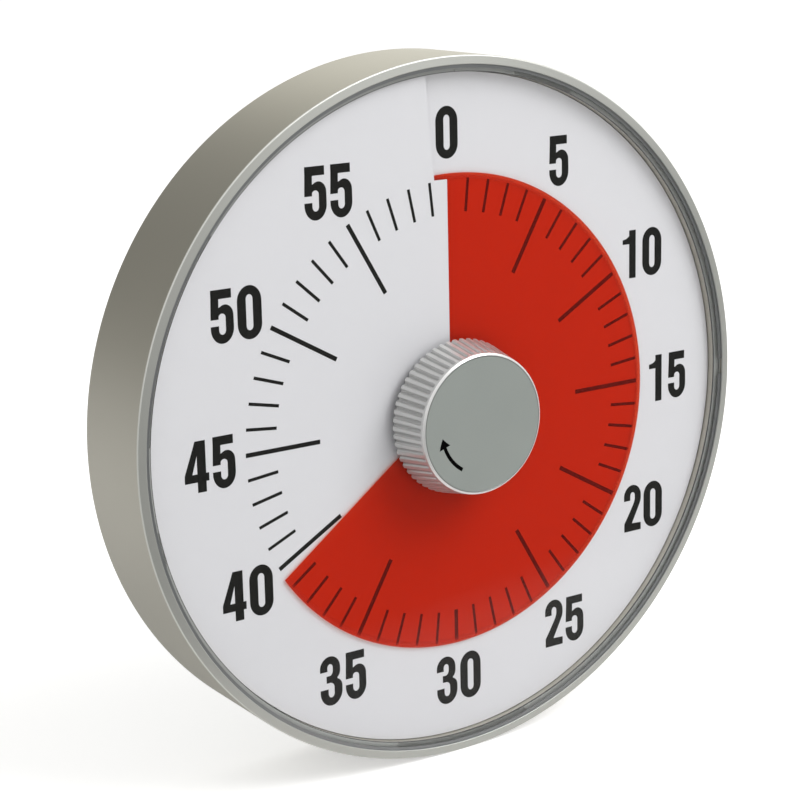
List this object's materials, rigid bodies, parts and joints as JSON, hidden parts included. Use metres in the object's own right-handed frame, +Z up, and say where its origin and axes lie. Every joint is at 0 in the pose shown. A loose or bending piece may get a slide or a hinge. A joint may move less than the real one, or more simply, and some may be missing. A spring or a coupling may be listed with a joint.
{
  "type": "visual countdown timer",
  "caption": "Round wall or board countdown timer: a knob turns a red film through a slit in a white minute dial, and a geared motor turns it back to zero.",
  "frame": {"origin": "middle of the footprint, on the surface that the rim stands on", "axes": "+Z up, -Y out of the dial towards the viewer, +X to the viewer's right"},
  "size_m": [0.299, 0.0628, 0.299],
  "materials": {
    "silver_lacquer": "satin silver lacquer on a moulded ring",
    "clear_lens": "clear polished acrylic",
    "white_plastic": "white moulding",
    "white_sheet": "white sheet printed with black minutes",
    "red_film": "translucent red film",
    "knob_silver": "bright silver lacquer",
    "knob_face": "satin silver disc with a black arrow",
    "steel": "plain steel",
    "brass": "turned brass",
    "motor_can": "drawn steel can",
    "black_plastic": "black moulding",
    "silver_plastic": "fine-textured silver moulding",
    "board_green": "coated circuit board",
    "battery_jacket": "plain printed jacket",
    "wire_red": "insulated wire",
    "magnet_nickel": "nickel-plated disc magnets"
  },
  "bodies": {
    "housing": {"housing_ring": "silver_lacquer", "front_lens": "clear_lens", "retaining_ring": "steel", "dial_carrier": "white_plastic", "dial_sheet": "white_sheet", "gear_motor": "motor_can", "shaft_bush": "brass", "bush_nut": "brass", "movement_front": "black_plastic", "movement_back": "black_plastic", "movement_screws": "steel", "circuit_board": "board_green", "buzzer": "black_plastic", "switch_body": "black_plastic", "battery_cell": "battery_jacket", "contact_plate": "steel", "contact_spring": "steel", "battery_leads": "wire_red", "back_cover": "silver_plastic", "cover_screws": "steel", "magnets": "magnet_nickel", "hanger_plate": "steel"},
    "setting": {"knob": "knob_silver", "knob_cap": "knob_face", "set_shaft": "steel", "friction_spring": "steel", "centre_wheel": "brass"},
    "film": {"film_hub": "white_plastic", "time_film": "red_film"},
    "third_arbor": {"third_wheel": "brass", "third_pinion": "steel"},
    "motor_output": {"motor_pinion": "steel"},
    "sound_switch": {"switch_slider": "black_plastic"},
    "door": {"battery_door": "silver_plastic"}
  },
  "joints": [
    {"name": "time_set", "type": "hinge", "parent": "housing", "child": "setting", "pos_m": [0, 0, 0.1495], "axis": [0, 1, 0], "range_deg": [-236.7, 123.3]},
    {"name": "film_lift", "type": "slide", "parent": "setting", "child": "film", "axis": [0, -1, 0], "range_m": [-0.00172, 0.0009]},
    {"name": "third_turn", "type": "hinge", "parent": "housing", "child": "third_arbor", "pos_m": [-0.01092, 0, 0.13227], "axis": [0, 1, 0], "range_deg": [-960, 1820]},
    {"name": "motor_turn", "type": "hinge", "parent": "housing", "child": "motor_output", "pos_m": [0, 0, 0.1195], "axis": [0, 1, 0], "range_deg": [-10900, 5800]},
    {"name": "sound_slide", "type": "slide", "parent": "housing", "child": "sound_switch", "axis": [1, 0, 0], "range_m": [0, 0.004]},
    {"name": "door_off", "type": "slide", "parent": "housing", "child": "door", "axis": [0, 1, 0], "range_m": [0, 0.02]}
  ],
  "couplings": [
    {"joint": "film_lift", "follows": "time_set", "m_per_rad": 0.0004138},
    {"joint": "third_turn", "follows": "time_set", "ratio": -7.5},
    {"joint": "motor_turn", "follows": "time_set", "ratio": 45}
  ]
}
